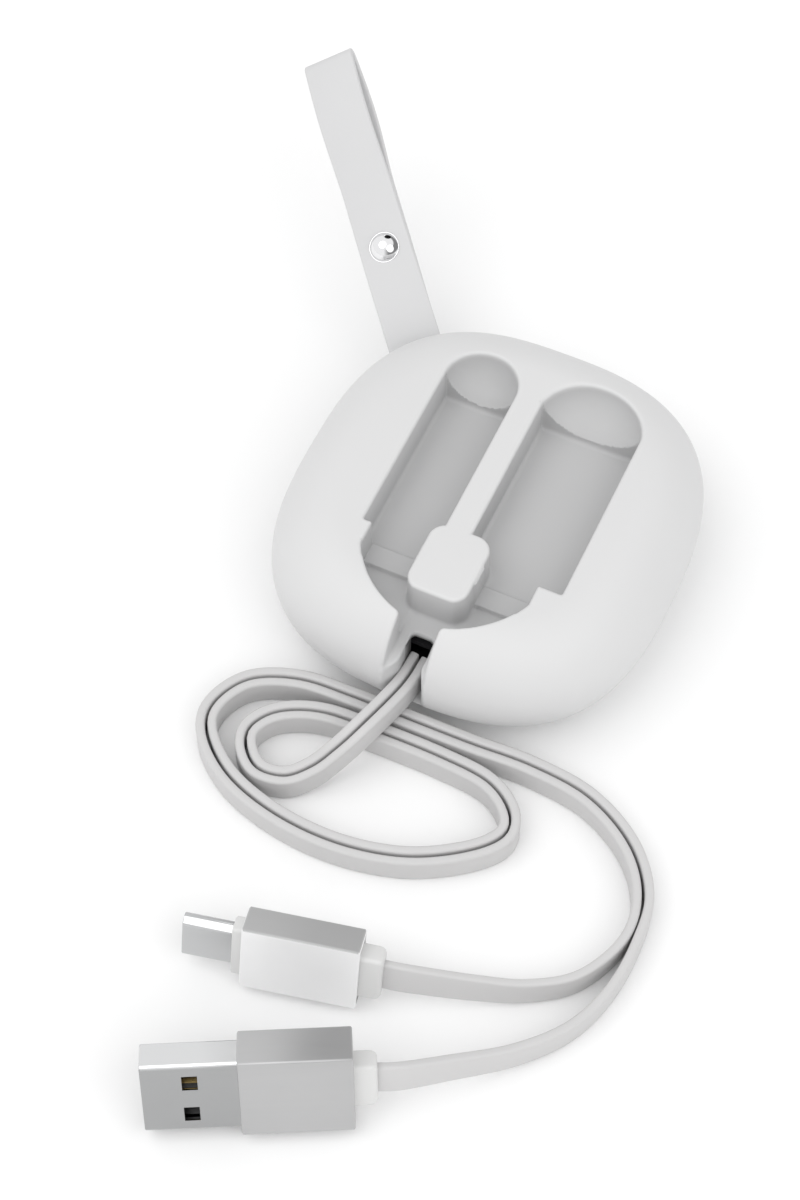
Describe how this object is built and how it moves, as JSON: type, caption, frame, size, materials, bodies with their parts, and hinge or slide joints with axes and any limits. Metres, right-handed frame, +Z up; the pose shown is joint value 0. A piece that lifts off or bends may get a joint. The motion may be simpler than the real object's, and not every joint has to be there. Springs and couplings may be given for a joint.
{
  "type": "retractable charging cable",
  "caption": "Flat charging cable that winds into a pebble-shaped case with two plug bays, an exit slot and a riveted strap loop",
  "frame": {"origin": "centre of the case's flat back, on the surface it lies on", "axes": "+Z up out of the case's face, +Y along the plug bays towards their finger scoops, -Y where the leads leave"},
  "size_m": [0.0985, 0.1573, 0.03],
  "materials": {
    "case_white": "matte white moulding, fine texture",
    "strap_white": "soft smooth band",
    "lead_white": "smooth flexible jacket",
    "plug_white": "satin moulding",
    "reel_dark": "dark grey moulding",
    "lever_plastic": "natural moulding",
    "contact_black": "black moulding",
    "plug_steel": "polished stamped steel",
    "bright_steel": "drawn steel",
    "rivet_chrome": "polished",
    "sleeve_aluminium": "fine bead-blasted, clear anodised",
    "contact_gold": "gold flash"
  },
  "bodies": {
    "case": {"front_shell": "case_white", "rear_cover": "case_white", "case_screws": "bright_steel", "strap_bar": "bright_steel", "reel_axle": "bright_steel", "power_spring": "bright_steel", "usb_a_shell": "plug_steel", "usb_a_tongue": "plug_white", "usb_a_contacts": "contact_gold", "usb_a_sleeve": "sleeve_aluminium", "usb_a_overmould": "plug_white", "micro_shell": "plug_steel", "micro_tongue": "contact_black", "micro_contacts": "contact_gold", "micro_latch_hooks": "bright_steel", "micro_sleeve": "sleeve_aluminium", "micro_overmould": "plug_white", "usb_a_lead": "lead_white", "micro_lead": "lead_white"},
    "reel": {"reel_spool": "reel_dark", "reel_flange": "reel_dark", "cable_winding": "lead_white"},
    "lever": {"lock_lever": "lever_plastic"},
    "strap": {"strap_band": "strap_white", "rivet_cap": "rivet_chrome", "rivet_post": "rivet_chrome"}
  },
  "joints": [
    {"name": "reel_turn", "type": "hinge", "parent": "case", "child": "reel", "pos_m": [0, 0, 0.007], "axis": [0, 0, 1], "range_deg": [-720, 840], "deforming": ["power_spring"]},
    {"name": "lock_lever_swing", "type": "hinge", "parent": "case", "child": "lever", "pos_m": [0.00042, -0.01526, 0.0023], "axis": [0, 0, 1], "range_deg": [-16, 0]},
    {"name": "strap_swing", "type": "hinge", "parent": "case", "child": "strap", "pos_m": [-0.01907, 0.02045, 0.008], "axis": [0.7314, 0.682, 0], "range_deg": [-31, 0]}
  ]
}
